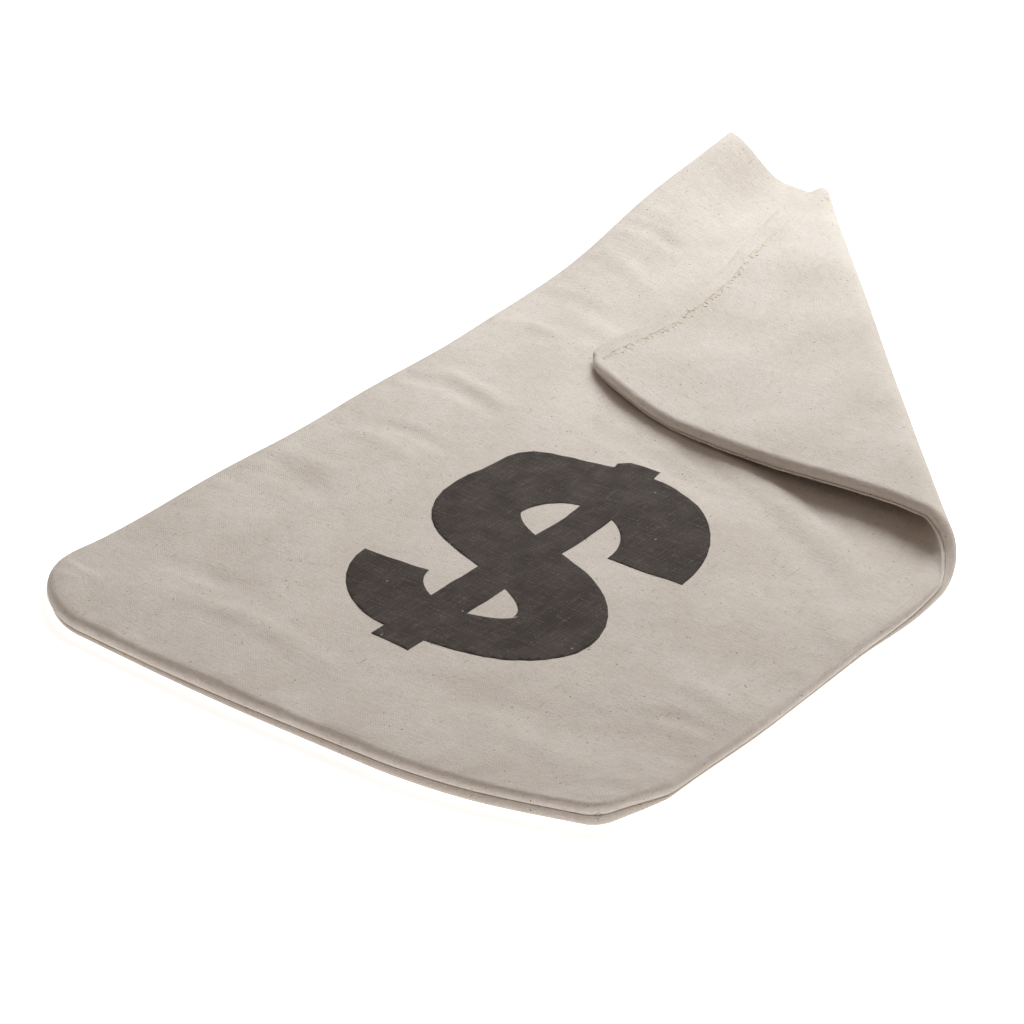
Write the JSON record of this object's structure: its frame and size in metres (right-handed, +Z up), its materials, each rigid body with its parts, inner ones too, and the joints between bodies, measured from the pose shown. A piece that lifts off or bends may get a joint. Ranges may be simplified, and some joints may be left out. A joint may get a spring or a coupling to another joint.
{
  "type": "cash deposit bag",
  "caption": "Flat canvas deposit bag sewn on the sides and bottom, open at the top, with one mouth corner turned down and a printed currency sign.",
  "frame": {"origin": "middle of the bag's underside on the table, half way between the side seams and half way along the bag", "axes": "+X to the bag's right side seam, +Y along the bag towards its mouth, +Z up from the table"},
  "size_m": [0.3021, 0.5207, 0.0297],
  "materials": {
    "canvas": "unbleached plain-weave cotton canvas with dark seed flecks",
    "seam_allowance": "raw canvas turned inside",
    "hem": "turned-in canvas margin",
    "thread": "cream cotton thread",
    "print": "worn matte brown-black pigment print"
  },
  "bodies": {
    "bag": {"back_panel": "canvas", "front_panel": "canvas", "left_seam_allowance": "seam_allowance", "right_seam_allowance": "seam_allowance", "bottom_seam_allowance": "seam_allowance", "left_seam_stitches": "thread", "right_seam_stitches": "thread", "bottom_seam_stitches": "thread", "back_mouth_hem": "hem", "front_mouth_hem": "hem", "back_hem_stitches": "thread", "front_hem_stitches": "thread", "currency_print": "print"},
    "corner_roll": {"back_panel_bend": "canvas", "front_panel_bend": "canvas"},
    "corner_flap": {"back_panel_corner": "canvas", "front_panel_corner": "canvas", "right_seam_allowance_corner": "seam_allowance", "right_seam_stitches_corner": "thread", "back_mouth_hem_corner": "hem", "front_mouth_hem_corner": "hem", "back_hem_stitches_corner": "thread", "front_hem_stitches_corner": "thread"}
  },
  "joints": [
    {"name": "fold_lower", "type": "hinge", "parent": "bag", "child": "corner_roll", "pos_m": [0.03109, 0.12161, 0.01029], "axis": [-0.6618, 0.7487, 0.0369], "range_deg": [0, 90.09], "deforming": ["back_panel_bend", "front_panel_bend"]},
    {"name": "fold_upper", "type": "hinge", "parent": "corner_roll", "child": "corner_flap", "pos_m": [0.03043, 0.12045, 0.02438], "axis": [-0.6613, 0.7498, 0.0245], "range_deg": [0, 90.09]}
  ],
  "couplings": [
    {"joint": "fold_upper", "follows": "fold_lower", "ratio": 1}
  ]
}
